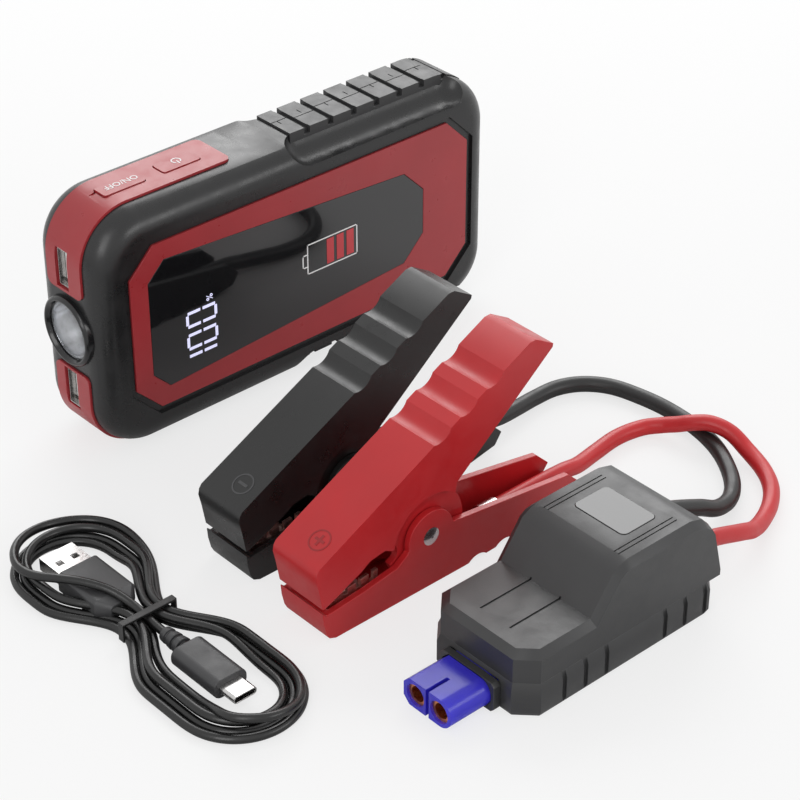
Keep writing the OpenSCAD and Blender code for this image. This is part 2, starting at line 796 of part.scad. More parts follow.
box_screw_at = [for (x = [9, box_l - 9], y = [7.6, box_w - 7.6]) [x, y]];
ramp_x = 27;
hump_x1 = 38;
hump_x2 = 68;
module box_cover() {
    w = box_w - 2 * cover_inset;
    color([0.17, 0.17, 0.18]) difference() {
        union() {
            // low deck
            hull() {
                translate([0, 0, seam_h]) linear_extrude(deck_h - bevel - seam_h) box_plan(cover_inset);
                translate([0, 0, deck_h - 0.01]) linear_extrude(0.01) box_plan(cover_inset + bevel);
            }
            // hump
            translate([0, box_w / 2, 0]) hull() {
                sideways(w) intersection() {
                    hump_outline(bevel);
                    translate([ramp_x - 8, seam_h]) square([box_l, hump_h]);
                }
                sideways(w - 2 * bevel) hump_outline(0);
            }
        }
        cover_hollow();
        // two long grooves on the deck, and a double line on each side of the badge
        for (y = [-5.9, 5.9]) translate([8, box_w / 2 + y - 0.35, deck_h - 0.4]) cube([ramp_x - 7, 0.7, over]);
        for (y = [13.2, 14.8], s = [-1, 1])
            translate([hump_x1 + 3, box_w / 2 + s * y - 0.2, hump_h - 0.3]) cube([24, 0.4, over]);
        translate([badge_x, box_w / 2, hump_h - badge_t]) linear_extrude(over + badge_t)
            round_rect(badge_l + 2 * seat, badge_w + 2 * seat, 2.1);
        for (s = [-1, 1]) translate([box_l - 16, box_w / 2 + s * lead_dy, lead_z])
            rotate([0, 90, 0]) cylinder(r = gland_r - 0.6, h = 30);
    }
}

module hump_outline(d) {
    polygon([[ramp_x - 1 + d, deck_h - 2], [hump_x1 - 2.4 + 0.6 * d, hump_h - 2.6 - 0.6 * d], [hump_x1 + 1, hump_h - 0.8 - 0.8 * d],
        [hump_x1 + 3.4, hump_h - d], [hump_x2 - 1, hump_h - d], [hump_x2 + 4.2, hump_h - 1.5 - d],
        [hump_x2 + 7, hump_h - 4.4 - 0.6 * d], [hump_x2 + 8.4, hump_h - 8], [box_l - cover_inset, seam_h + 2],
        [box_l - cover_inset, seam_h], [ramp_x - 1, seam_h]]);
}

module cover_hollow() {
    translate([0, 0, seam_h - over]) linear_extrude(deck_h - box_wall - seam_h + over)
        box_plan(cover_inset + box_wall);
    translate([0, box_w / 2, 0]) sideways(box_w - 2 * (cover_inset + bevel + box_wall - 0.6))
        polygon([[ramp_x + 3, seam_h], [hump_x1 + 1.6, hump_h - 4], [hump_x2 + 1, hump_h - 4],
            [box_l - 10, seam_h + 4], [box_l - 10, seam_h]]);
}

badge_l = 14;
badge_w = 20.4;
badge_t = 1;
badge_x = 55;
module box_badge() {
    color([0.05, 0.05, 0.05]) translate([badge_x, box_w / 2, hump_h - badge_t])
        linear_extrude(badge_t + 0.2) round_rect(badge_l, badge_w, 2);
}

module box_pcb() {
    color("darkgreen") translate([13, 5, box_wall + 2.4]) cube([box_l - 26, box_w - 10, 1.6]);
}

module box_relay() {
    color("black") {
        translate([44, box_w / 2 - 8.5, box_wall + 4]) cube([21, 17, 19]);
        for (x = [18, 27]) translate([x, box_w / 2, box_wall + 4]) cylinder(r = 3.2, h = 8);
    }
}

module box_screws() {
    color("silver") for (p = box_screw_at) translate([p[0], p[1], 0.2]) {
        cylinder(r = 2.5, h = 1);
        cylinder(r = 1.3, h = seam_h - 1.4);
    }
}

// ---------- plug on the smart box ----------

plug_mid_z = plug_h / 2 + 0.5;
collar_x = 2.6;        // how far the collar stands in front of the box
plug_tail = 6;         // length of the plug inside the box
plug_l = 15;           // length of the plug in front of the collar

// Front view of the plug: one side square, the other round, so that it fits one way only
module plug_outline(grow) {
    h = plug_h / 2 + grow;
    w = plug_w / 2 + grow;
    square([2 * h, 2 * (w - h)], center = true);
    translate([0, w - h]) circle(r = h);
    intersection() {
        translate([0, h - w]) cut_rect(2 * h, 2 * h, 0.5 * h);
        translate([-h, -w]) square([2 * h, 2 * h]);
    }
}

module plug_collar() {
    color([0.14, 0.14, 0.15]) translate([-collar_x, box_w / 2, plug_mid_z]) difference() {
        lengthways(collar_x - 0.05) cut_rect(plug_w + 2.6, plug_h + 0.6, 1.2);
        translate([-over, 0, 0]) lengthways(collar_x + 5) rotate([0, 0, 90]) plug_outline(seat);
    }
}

module plug_housing() {
    color("mediumblue") translate([-collar_x - plug_l, box_w / 2, plug_mid_z]) difference() {
        lengthways(plug_l + collar_x + plug_tail) rotate([0, 0, 90]) plug_outline(0);
        for (s = [-1, 1]) translate([-over, s * pin_pitch / 2, 0]) rotate([0, 90, 0])
            cylinder(r = contact_r + 0.02, h = plug_l + collar_x + plug_tail + 2 * over);
        // step between the two barrels
        translate([-over, -0.6, -plug_h]) cube([9, 1.2, 2 * plug_h]);
    }
}

contact_r = 3.5;
contact_l = 14;
module plug_contacts() {
    color("chocolate") for (s = [-1, 1])
        translate([-collar_x - plug_l + 1, box_w / 2 + s * pin_pitch / 2, plug_mid_z]) rotate([0, 90, 0])
            difference() {
                cylinder(r = contact_r, h = contact_l + 8);
                translate([0, 0, -over]) cylinder(r = pin_r, h = contact_l + over);
            }
}

module lead_glands() {
    color([0.12, 0.12, 0.12]) for (s = [-1, 1])
        translate([gland_x, box_w / 2 + s * lead_dy, lead_z]) rotate([0, 90, 0]) {
            cylinder(r = gland_r - 0.7, h = box_l - gland_x + 0.5);
            translate([0, 0, box_l - gland_x + 0.4]) cylinder(r = gland_r, h = 2.6);
        }
}
gland_x = box_l - 8;
gland_end = box_l + 3;   // outer face of the glands

// ---------- leads ----------

// Routes in the kit's frame, from the gland to the clamp
lead_start_x = box_at[0] + gland_end;
red_route = [[lead_start_x, box_at[1] + box_w / 2 - lead_dy, lead_z], [lead_start_x + 5, -94.8, 14.6],
    [31, -94, 9], [41, -92.4, 5.4], [51, -89.4, 3.4], [60.5, -84.8, 2.8], [67.5, -79, 2.8],
    [73, -71, 2.8], [76, -61.5, 4], [76, -54, 7], [73.3, -48, 8.6], [70.6, -43, 7.6],
    [68.6, -38.4, 5.6], [66.4, -33.6, 3.8], [61.4, -29.2, 2.8], [51.5, -27.6, 2.8],
    [39.5, -29, 2.9], [29, -31.6, 4.4], [22, -32.2, 5.8],
    [10, -32.2, clamp_lead_z], [crimp_end(red_at), -32.2, clamp_lead_z]];
black_route = [[lead_start_x, box_at[1] + box_w / 2 + lead_dy, lead_z], [lead_start_x + 5, -76, 14.6],
    [32, -77.4, 8.8], [42, -78, 5], [51.4, -75.6, 3.2], [59.2, -70.4, 2.8], [66, -62, 2.8],
    [71.4, -52, 2.8], [74.6, -40.5, 2.8], [75.6, -28, 2.8], [74.6, -17, 2.8], [71.6, -5.6, 2.8],
    [65.6, 2, 2.8], [57.4, 6, 2.8], [47.4, 6.4, 3], [38, 5.2, 3.8], [30, 4.2, 4.6],
    [22.5, 3.9, 5.8], [10, 3.9, clamp_lead_z], [crimp_end(black_at), 3.9, clamp_lead_z]];
function crimp_end(at) = at[0] + crimp_x + 1.05;

function unit(v) = v / norm(v);
function heading(route, i) = let (n = len(route))
    i == 0 ? [1, 0, 0] : i == n - 1 ? [-1, 0, 0] : unit(route[i + 1] - route[i - 1]);
function ring(c, t, r, sides) = let (u = unit(cross(t, [0, 0, 1])), v = cross(u, t))
    [for (k = [0 : sides - 1]) c + r * (cos(360 * k / sides) * u + sin(360 * k / sides) * v)];

// A tube swept along a route, its ends square to X
module tube(route, r, sides) {
    n = len(route);
    points = [for (i = [0 : n - 1]) each ring(route[i], heading(route, i), r, sides)];
    walls = [for (i = [0 : n - 2], k = [0 : sides - 1])
        [i * sides + k, i * sides + (k + 1) % sides, (i + 1) * sides + (k + 1) % sides, (i + 1) * sides + k]];
    first = [for (k = [sides - 1 : -1 : 0]) k];
    last = [for (k = [0 : sides - 1]) (n - 1) * sides + k];
    polyhedron(points, concat(walls, [first, last]));
}

module lead_red() {
    color("firebrick") tube(red_route, lead_d / 2, 10);
}

module lead_black() {
    color([0.1, 0.1, 0.1]) tube(black_route, lead_d / 2, 10);
}

// ---------- clamps, in their own frame: origin on the pivot's axis, rear at +X ----------

tail_x = 64.5;
scoop_chord = 7.4;
finger_r = (scoop_chord * scoop_chord / 4 + finger_d * finger_d) / (2 * finger_d);
lower_top = [[8.4, 1.2], [59.4, -6.8]];
module lower_outline() {
    difference() {
        union() {
            polygon([[-nose_l + 2.3, -7.2], [-nose_l + 2.6, -11], [-nose_l + 3.5, floor_z + 3.2],
                [-nose_l + 4.6, floor_z + 1], [-nose_l + 7, floor_z], [46, floor_z], [61.6, floor_z + 2.4],
                [tail_x, floor_z + 6.4], lower_top[1], lower_top[0], [0, 3], [-6, 1], [-9.4, -2.4],
                [-13.2, -5.1], [-25.6, -7], [-40.5, -8.4]]);
            circle(r = ear_r);
        }
        for (k = [0 : scoops - 1]) translate([19.5 + k * finger_pitch, floor_z - finger_r + finger_d])
            circle(r = finger_r);
    }
}

module lower_plan(inset) {
    w = clamp_w / 2 - inset;
    t = clamp_tail_w / 2 - inset;
    polygon([[-nose_l - over, -w], [14, -w], [tail_x + over, -t], [tail_x + over, t], [14, w],
        [-nose_l - over, w]]);
}

module clamp_lower() {
    difference() {
        intersection() {
            sideways(clamp_w + 2) lower_outline();
            translate([0, 0, -40]) linear_extrude(80) lower_plan(0);
        }
        // channel, open upwards and at the tail
        intersection() {
            translate([0, 0, floor_z + clamp_floor]) linear_extrude(60) lower_plan(clamp_wall);
            sideways(clamp_w) polygon([[-nose_l + 6, floor_z + clamp_floor], [tail_x + 3, floor_z + clamp_floor],
                [tail_x + 3, 20], [-nose_l + 4.4, 20]]);
        }
        rotate([90, 0, 0]) cylinder(r = rivet_r + 0.02, h = clamp_w + 2, center = true);
    }
}

back_dx = cos(back_angle);
back_dz = sin(back_angle);
function along_back(d, h) = [-nose_l + d * back_dx + h * back_dz, 8.6 + d * back_dz - h * back_dx];
back_l = 96.5;
module upper_outline() {
    tip = along_back(back_l, 0);
    difference() {
        polygon([[-nose_l + 2.2, -5.4], [-nose_l + 0.9, 2.2], [-nose_l, 6.2], [-nose_l + 0.4, 8.2],
            along_back(1.6, -0.2), along_back(back_l - 3.4, -0.2), along_back(back_l - 1.2, 0.8),
            [tip[0] + 6.6, tip[1] - 5.6], [tip[0] + 6.4, tip[1] - 6.8],
            [10.2, 14.7], [9, 8], [9, -1], [0, -10], [-8, -6], [-13.6, 1.2], [-18, 3.7], [-23.7, 2.9],
            [-27.3, 0.6], [-nose_l + 3.4, -5.4]]);
        for (k = [0 : scoops - 1])
            translate(along_back(54.5 + k * finger_pitch, -finger_r + finger_d - 0.2)) circle(r = finger_r);
    }
}

ear_gap = 0.3;
inner_y = clamp_w / 2 - clamp_wall - ear_gap;     // outer face of the upper half's inner ears
module clamp_upper() {
    difference() {
        union() {
            difference() {
                sideways(clamp_w) upper_outline();
                // recess that the lower half's ears turn in
                for (s = [-1, 1]) translate([0, s * clamp_w / 2, 0]) rotate([90, 0, 0])
                    cylinder(r = recess_r, h = 2 * (clamp_wall + ear_gap), center = true);
            }
            // inner ears
            for (s = [-1, 1]) translate([0, s * (inner_y - clamp_wall / 2), 0])
                sideways(clamp_wall) intersection() {
                    circle(r = recess_r + 0.2);
                    translate([-20, -20]) square([40, 60]);
                }
        }
        // channel, open downwards
        sideways(clamp_w - 2 * clamp_wall) difference() {
            polygon([[-nose_l + 4.6, -20], [-nose_l + 3.2, 5.4], along_back(3.2, 2.6), along_back(back_l - 3, 2.6),
                [60, 40], [60, -20]]);
            circle(r = recess_r + 0.2);
        }
        sideways(2 * (inner_y - clamp_wall)) polygon([[-nose_l + 4.6, -20], [-nose_l + 3.2, 5.4],
            along_back(3.2, 2.6), along_back(back_l - 3, 2.6), [60, 40], [60, -20]]);
        // round notch of the jaws
        translate([-14.6, -1.2, 0]) translate([0, 0, -1.2]) rotate([90, 0, 0])
            cylinder(r = 3.5, h = 2 * clamp_w, center = true);
        rotate([90, 0, 0]) cylinder(r = rivet_r + pivot_play, h = clamp_w + 2, center = true);
    }
}

module clamp_rivet() {
    color("silver") rotate([90, 0, 0]) {
        cylinder(r = rivet_r, h = clamp_w + 0.1, center = true);
        for (s = [0, 1]) mirror([0, 0, s]) translate([0, 0, clamp_w / 2 + 0.05]) intersection() {
            cylinder(r = rivet_head_r, h = 0.7);
            translate([0, 0, -6.6]) sphere(r = 7.3);
        }
    }
}

// Torsion spring around the rivet: coils side by side, and a leg against each half
wire_r = 0.8;
spring_r = rivet_r + wire_r + 0.3;
coils = 5;
module clamp_spring() {
    half = (coils - 1) / 2;
    color("silver") {
        rotate([90, 0, 0]) rotate_extrude() translate([spring_r, 0]) for (k = [-half : half])
            translate([0, k * 1.7 * wire_r]) circle(r = wire_r, $fn = 24);
        translate([0, -half * 1.7 * wire_r, -spring_r]) rotate([0, 98, 0])
            cylinder(r = wire_r - 0.05, h = 16, $fn = 24);
        translate([0, half * 1.7 * wire_r, spring_r]) rotate([0, 90 - back_angle - 26, 0])
            cylinder(r = wire_r - 0.05, h = 18, $fn = 24);
    }
}

// Folded copper jaw plates with square teeth along both edges
jaw_w = 12.6;
tooth_pitch = 5;
teeth = 4;
module lower_jaw() {
    z0 = floor_z + clamp_floor + 0.2;
    color("rosybrown") difference() {
        sideways(jaw_w) polygon([[-38, z0 + 2], [-36.4, z0], [-18, z0], [-18, -4.6], [-38.4, -6.6]]);
        sideways(jaw_w - 2 * jaw_t) polygon([[-45, z0 + jaw_t + 2], [-36, z0 + jaw_t], [-10, z0 + jaw_t],
            [-10, 5], [-45, 5]]);
        for (k = [0 : teeth - 1]) translate([-35.6 + k * tooth_pitch, 0, -6.2])
            cube([tooth_pitch * 0.36, 2 * jaw_w, 2.8], center = true);
    }
}

module upper_jaw() {
    color("rosybrown") difference() {
        sideways(jaw_w) polygon([[-38.4, -5.8], [-27, -1.2], [-22.8, 1], [-19.6, 1.4], [-17.4, 6], [-20, 14],
            [-38.2, 6.8]]);
        sideways(jaw_w - 2 * jaw_t) polygon([[-45, -8], [-45, 3], [-20.8, 12.4], [-10, 12.4], [-10, -8]]);
        for (k = [0 : teeth - 1]) translate([-35.4 + k * tooth_pitch * 0.9, 0, -4.9 + k * 1.9])
            cube([tooth_pitch * 0.3, 2 * jaw_w, 2.4], center = true);
    }
}

// Crimp that clasps the lead's end on the lower half's floor
module clamp_crimp() {
    color("silver") translate([crimp_x, 0, clamp_lead_z - pivot_z]) rotate([0, 90, 0]) difference() {
        cylinder(r = crimp_r, h = crimp_l);
        translate([0, 0, 1]) cylinder(r = lead_d / 2 + 0.05, h = crimp_l);
    }
}

module red_part() {
    translate(red_at) children();
}

module black_part() {
    translate(black_at) children();
}

module red_clamp_lower() { red_part() color("crimson") clamp_lower(); }
module red_clamp_upper() { red_part() color("crimson") clamp_upper(); }
module red_rivet() { red_part() clamp_rivet(); }
module red_spring() { red_part() clamp_spring(); }
module red_jaw_lower() { red_part() lower_jaw(); }
module red_jaw_upper() { red_part() upper_jaw(); }
module red_crimp() { red_part() clamp_crimp(); }
module black_clamp_lower() { black_part() color([0.12, 0.12, 0.12]) clamp_lower(); }
module black_clamp_upper() { black_part() color([0.12, 0.12, 0.12]) clamp_upper(); }
module black_rivet() { black_part() clamp_rivet(); }
module black_spring() { black_part() clamp_spring(); }
module black_jaw_lower() { black_part() lower_jaw(); }
module black_jaw_upper() { black_part() upper_jaw(); }
module black_crimp() { black_part() clamp_crimp(); }

// ---------- charging cable ----------

bundle_x = -118.5;
far_loop = [6.2, 53];        // the loop around the USB-A plug, in y
near_loop = [-64, -10.8];    // the loop around the USB-C plug
tie_w = 2.4;
waist_w = 18;

module loop_outline(y, w) {
    translate([bundle_x, (y[0] + y[1]) / 2]) round_rect(w, y[1] - y[0], w / 2 - 0.05);
}

module usb_bundle() {
    color([0.1, 0.1, 0.1]) {
        linear_extrude(bundle_h) difference() {
            union() {
                loop_outline(far_loop - [band_w, 0], bundle_w);
                loop_outline(near_loop + [0, band_w], bundle_w);
            }
            loop_outline(far_loop - [0, band_w], bundle_w - 2 * band_w);
            loop_outline(near_loop + [band_w, 0], bundle_w - 2 * band_w);
            translate([bundle_x, (far_loop[0] + near_loop[1]) / 2])
                square([2 * bundle_w, tie_w + 1], center = true);
            // room for the plugs
            translate([usb_c_x - 3.3, near_loop[1] - 12]) square([6.6, 12]);
            translate([usb_a_x - usb_a_w / 2 - seat, far_loop[0] + 0.3]) square([usb_a_w + 2 * seat, 28]);
        }
        translate([bundle_x, (far_loop[0] + near_loop[1]) / 2, bundle_h / 2 + 0.9])
            cube([waist_w, tie_w + 1.2, bundle_h - 1.2], center = true);
    }
}

module cable_tie() {
    color("black") translate([bundle_x, (far_loop[0] + near_loop[1]) / 2, bundle_h / 2 + 0.9]) difference() {
        cube([waist_w + 1.6, tie_w, bundle_h + 0.6], center = true);
        cube([waist_w + 0.1, tie_w + over, bundle_h - 1.1], center = true);
    }
}

usb_a_x = bundle_x - 2.6;
usb_a_z = 3.9;
usb_a_w = 14.6;
module usb_a_plug() {
    color([0.2, 0.2, 0.21]) translate([usb_a_x, far_loop[0] + 0.4, usb_a_z]) rotate([-90, 0, 0]) {
        translate([0, 0, 4]) linear_extrude(18) round_rect(usb_a_w, 7.4, 1.6);
        hull() {
            linear_extrude(0.5) round_rect(8, 4.6, 1.4, $fn = 32);
            translate([0, 0, 3.8]) linear_extrude(0.3) round_rect(usb_a_w, 7.4, 1.6, $fn = 32);
        }
    }
}

module usb_a_shell() {
    color("silver") translate([usb_a_x, far_loop[0] + 22.4, usb_a_z]) rotate([-90, 0, 0]) difference() {
        linear_extrude(11.6) square([12, 4.5], center = true);
        translate([0, 0, 0.6]) linear_extrude(12) translate([0, -0.9]) square([11.4, 2.1], center = true);
        for (x = [-2.8, 2.8], y = [-1, 1]) translate([x, y * 2.25, 5.4]) cube([2.2, 0.8, 2.2], center = true);
    }
}

usb_c_x = bundle_x - 0.3;
usb_c_mid_z = 3.8;
module usb_c_plug() {
    color([0.2, 0.2, 0.21]) translate([usb_c_x, near_loop[1] - 0.1, usb_c_mid_z]) rotate([90, 0, 0]) {
        for (k = [0 : 2]) translate([0, 0, k * 3.2]) cylinder(r1 = 2.3 + 0.25 * k, r2 = 2.6 + 0.25 * k, h = 2.2);
        cylinder(r = 1.9, h = 10.6);
        translate([0, 0, 10.3]) linear_extrude(20) round_rect(11.8, 6.4, 2.8);
    }
}

module usb_c_shell() {
    color("silver") translate([usb_c_x, near_loop[1] - 30.4, usb_c_mid_z]) rotate([90, 0, 0]) difference() {
        linear_extrude(6.6) round_rect(8.3, 2.5, 1.2);
        translate([0, 0, 0.6]) linear_extrude(6.6) round_rect(7.5, 1.7, 0.8);
    }
}

in_pack() front_shell();
in_pack() rear_shell();
in_pack() grip_top();
in_pack() grip_bottom();
in_pack() face_frame();
in_pack() display_window();
in_pack() display_module();
in_pack() trim_upper();
in_pack() trim_lower();
in_pack() power_button();
in_pack() onoff_button();
in_pack() button_switches();
in_pack() torch_bezel();
in_pack() torch_reflector();
in_pack() torch_lens();
in_pack() torch_led();
in_pack() usb_port_upper();
in_pack() usb_port_lower();
in_pack() usb_tongues();
in_pack() usb_c_port();
in_pack() socket_housing();
in_pack() socket_pins();
in_pack() socket_cover();
in_pack() battery_cells();
in_pack() main_pcb();
in_pack() housing_screws();
in_box() box_base();
in_box() box_cover();
in_box() box_badge();
in_box() box_pcb();
in_box() box_relay();
in_box() box_screws();
in_box() plug_collar();
in_box() plug_housing();
in_box() plug_contacts();
in_box() lead_glands();
lead_red();
lead_black();
red_clamp_lower();
red_clamp_upper();
red_rivet();
red_spring();
red_jaw_lower();
red_jaw_upper();
red_crimp();
black_clamp_lower();
black_clamp_upper();
black_rivet();
black_spring();
black_jaw_lower();
black_jaw_upper();
black_crimp();
usb_bundle();
usb_a_plug();
usb_a_shell();
usb_c_plug();
usb_c_shell();
cable_tie();
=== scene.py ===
"""Jump starter pack with its clamps, smart box and charging cable. Metres, in the CAD frame."""
import json
import math

import bmesh
import bpy
from mathutils import Matrix, Vector


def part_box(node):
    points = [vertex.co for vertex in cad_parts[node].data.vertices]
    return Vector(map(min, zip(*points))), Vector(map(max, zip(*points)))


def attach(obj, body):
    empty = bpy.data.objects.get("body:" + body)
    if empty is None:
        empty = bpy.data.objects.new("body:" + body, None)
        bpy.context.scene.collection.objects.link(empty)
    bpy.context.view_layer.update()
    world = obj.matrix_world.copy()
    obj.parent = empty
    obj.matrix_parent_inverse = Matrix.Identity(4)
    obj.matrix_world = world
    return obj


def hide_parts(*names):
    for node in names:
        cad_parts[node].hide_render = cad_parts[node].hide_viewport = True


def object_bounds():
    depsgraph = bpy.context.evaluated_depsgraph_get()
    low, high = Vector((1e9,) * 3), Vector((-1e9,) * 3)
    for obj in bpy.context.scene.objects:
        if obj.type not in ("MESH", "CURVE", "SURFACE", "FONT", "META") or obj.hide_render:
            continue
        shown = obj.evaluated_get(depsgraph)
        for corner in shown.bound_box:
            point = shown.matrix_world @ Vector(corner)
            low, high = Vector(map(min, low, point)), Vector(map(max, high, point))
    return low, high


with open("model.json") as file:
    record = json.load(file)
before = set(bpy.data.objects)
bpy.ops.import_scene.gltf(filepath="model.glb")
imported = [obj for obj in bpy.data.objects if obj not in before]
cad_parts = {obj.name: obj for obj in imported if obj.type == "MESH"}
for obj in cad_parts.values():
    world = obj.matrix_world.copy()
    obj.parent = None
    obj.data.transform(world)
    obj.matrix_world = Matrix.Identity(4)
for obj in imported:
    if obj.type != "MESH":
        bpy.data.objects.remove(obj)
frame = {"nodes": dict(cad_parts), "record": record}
cad_box = [list(c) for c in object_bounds()]
MM = 0.001
NODES = frame["nodes"]


def V(x, y, z):
    """A point given in millimetres."""
    return Vector((x * MM, y * MM, z * MM))


def ease(t):
    t = min(max(t, 0.0), 1.0)
    return t * t * (3 - 2 * t)


# ---------------------------------------------------------------- camera
cam_data = bpy.data.cameras.new("camera")
cam_data.lens = 108
cam_data.sensor_width = 36
cam_data.clip_start, cam_data.clip_end = 0.01, 50
cam = bpy.data.objects.new("camera", cam_data)
bpy.context.scene.collection.objects.link(cam)
cam.location = (-0.4282, -0.4576, 0.4427)
cam.rotation_euler = Vector((0.5559, 0.6203, -0.5534)).to_track_quat("-Z", "Y").to_euler()
bpy.context.scene.camera = cam


# ---------------------------------------------------------------- materials
def new_material(name, base, rough, metal=0.0, spec=0.5, **uniform):
    m = bpy.data.materials.new(name)
    m.use_nodes = True
    b = m.node_tree.nodes["Principled BSDF"]
    b.inputs["Base Color"].default_value = (*base, 1)
    b.inputs["Roughness"].default_value = rough
    b.inputs["Metallic"].default_value = metal
    b.inputs["Specular IOR Level"].default_value = spec
    for k, v in uniform.items():
        b.inputs[k.replace("_", " ")].default_value = v
    m.diffuse_color = (*base, 1)
    return m, m.node_tree, b


def add(tree, kind, **values):
    n = tree.nodes.new(kind)
    for k, v in values.items():
        if hasattr(n, k):
            setattr(n, k, v)
        else:
            n.inputs[k.replace("_", " ")].default_value = v
    return n


def noise(tree, scale, detail=3.0, rough=0.5, stretch=None):
    co = add(tree, "ShaderNodeTexCoord")
    out = co.outputs["Object"]
    if stretch:
        mp = add(tree, "ShaderNodeMapping")
        mp.inputs["Scale"].default_value = stretch
        tree.links.new(out, mp.inputs["Vector"])
        out = mp.outputs["Vector"]
    n = add(tree, "ShaderNodeTexNoise", Scale=scale, Detail=detail, Roughness=rough)
    tree.links.new(out, n.inputs["Vector"])
    return n.outputs["Fac"]


def ramp(tree, fac, low, high, a, b):
    r = add(tree, "ShaderNodeMapRange")
    r.inputs["From Min"].default_value = low
    r.inputs["From Max"].default_value = high
    r.inputs["To Min"].default_value = a
    r.inputs["To Max"].default_value = b
    tree.links.new(fac, r.inputs["Value"])
    return r.outputs["Result"]


def vary_colour(tree, shader, base, shift, fac):
    """Mottles the base colour between base and base * shift."""
    mix = add(tree, "ShaderNodeMix", data_type="RGBA")
    mix.inputs["A"].default_value = (*base, 1)
    mix.inputs["B"].default_value = (*[min(1, c * shift) for c in base], 1)
    tree.links.new(ramp(tree, fac, 0.35, 0.65, 0, 1), mix.inputs["Factor"])
    tree.links.new(mix.outputs["Result"], shader.inputs["Base Color"])


def bump(tree, shader, fac, height):
    b = add(tree, "ShaderNodeBump", Strength=1.0, Distance=height)
    tree.links.new(fac, b.inputs["Height"])
    tree.links.new(b.outputs["Normal"], shader.inputs["Normal"])


def plastic(name, base, rough, grain=0.00002, grain_scale=2600, mottle=1.18, rough_span=0.08, spec=0.5, **uniform):
    """Moulded plastic: faint mottling, spark-eroded grain and uneven gloss."""
    m, t, s = new_material(name, base, rough, spec=spec, **uniform)
    vary_colour(t, s, base, mottle, noise(t, 45, 4))
    bump(t, s, noise(t, grain_scale, 2), grain)
    t.links.new(ramp(t, noise(t, 160, 5, 0.6), 0.3, 0.7, rough - rough_span, rough + rough_span),
                s.inputs["Roughness"])
    return m


def metal(name, base, rough, stretch=(1, 1, 12)):
    """Drawn or plated metal: fine lines along one way, and uneven gloss."""
    m, t, s = new_material(name, base, rough, metal=1.0)
    line = noise(t, 900, 3, 0.6, stretch)
    vary_colour(t, s, base, 0.82, noise(t, 240, 4))
    bump(t, s, line, 0.000004)
    t.links.new(ramp(t, line, 0.3, 0.7, rough * 0.7, rough * 1.4), s.inputs["Roughness"])
    return m


M = {
    "shell_grey": plastic("shell_plastic", (0.011, 0.011, 0.0115), 0.3, 0.000012, 1900),
    "grip_rubber": plastic("grip_overmould", (0.04, 0.04, 0.041), 0.42, 0.00003, 1500, spec=0.5),
    "face_red": plastic("red_satin", (0.36, 0.028, 0.034), 0.34, 0.000008, 2400, 1.1),
    "window_black": plastic("smoked_pane", (0.008, 0.008, 0.009), 0.05, 0.0, 800, 1.05, 0.015,
                            Coat_Weight=0.6, Coat_Roughness=0.02),
    "module_black": plastic("module_plastic", (0.02, 0.02, 0.02), 0.45),
    "bezel_black": plastic("bezel_gloss", (0.011, 0.011, 0.012), 0.16, 0.000004, 1800, 1.1, 0.04),
    "reflector_chrome": metal("plated_bowl", (0.86, 0.87, 0.9), 0.12),
    "led_yellow": plastic("led_phosphor", (0.85, 0.62, 0.12), 0.35),
    "port_metal": metal("port_nickel", (0.62, 0.61, 0.6), 0.24, (1, 1, 8)),
    "tongue_white": plastic("tongue_plastic", (0.75, 0.75, 0.73), 0.4),
    "contact_brass": metal("gold_contact", (0.83, 0.6, 0.25), 0.25),
    "contact_copper": metal("copper_contact", (0.9, 0.36, 0.14), 0.3),
    "cover_rubber": plastic("cover_rubber", (0.03, 0.03, 0.032), 0.55, 0.00003, 1300),
    "cell_foil": metal("pouch_foil", (0.7, 0.7, 0.72), 0.35),
    "board_green": plastic("board_mask", (0.02, 0.13, 0.05), 0.35),
    "screw_steel": metal("screw_zinc", (0.55, 0.55, 0.56), 0.3),
    "box_grey": plastic("box_plastic", (0.035, 0.035, 0.036), 0.36, 0.000016, 1700, 1.15),
    "badge_black": plastic("badge_gloss", (0.006, 0.006, 0.007), 0.06, 0.0, 900, 1.05, 0.02,
                           Coat_Weight=0.5, Coat_Roughness=0.03),
    "lead_red": plastic("lead_red_silicone", (0.55, 0.018, 0.022), 0.4, 0.00002, 900, 1.12),
    "lead_black": plastic("lead_black_silicone", (0.014, 0.014, 0.014), 0.4, 0.00002, 900, 1.2),
    "cable_black": plastic("cable_pvc", (0.008, 0.008, 0.008), 0.3, 0.00002, 1100, 1.2),
    "plug_grey": plastic("plug_overmould", (0.05, 0.05, 0.052), 0.42, 0.00002, 2200, 1.12),
    "tie_black": plastic("tie_plastic", (0.01, 0.01, 0.01), 0.4),
    "clamp_red": plastic("clamp_red", (0.5, 0.016, 0.02), 0.36, 0.00001, 2300, 1.1),
    "clamp_black": plastic("clamp_black", (0.011, 0.011, 0.011), 0.32, 0.00001, 2300, 1.2),
    "rivet_steel": metal("rivet_steel", (0.78, 0.78, 0.79), 0.2),
    "spring_steel": metal("spring_steel", (0.6, 0.6, 0.6), 0.25),
    "jaw_copper": metal("jaw_copper", (0.96, 0.68, 0.62), 0.32),
    "crimp_steel": metal("crimp_steel", (0.72, 0.72, 0.72), 0.24),
    "white_print": plastic("white_print", (0.85, 0.85, 0.85), 0.5),
    "red_print": plastic("red_print", (0.55, 0.05, 0.06), 0.45),
    "red_relief": plastic("red_relief", (0.3, 0.008, 0.01), 0.4),
    "black_relief": plastic("black_relief", (0.05, 0.05, 0.052), 0.35),
}

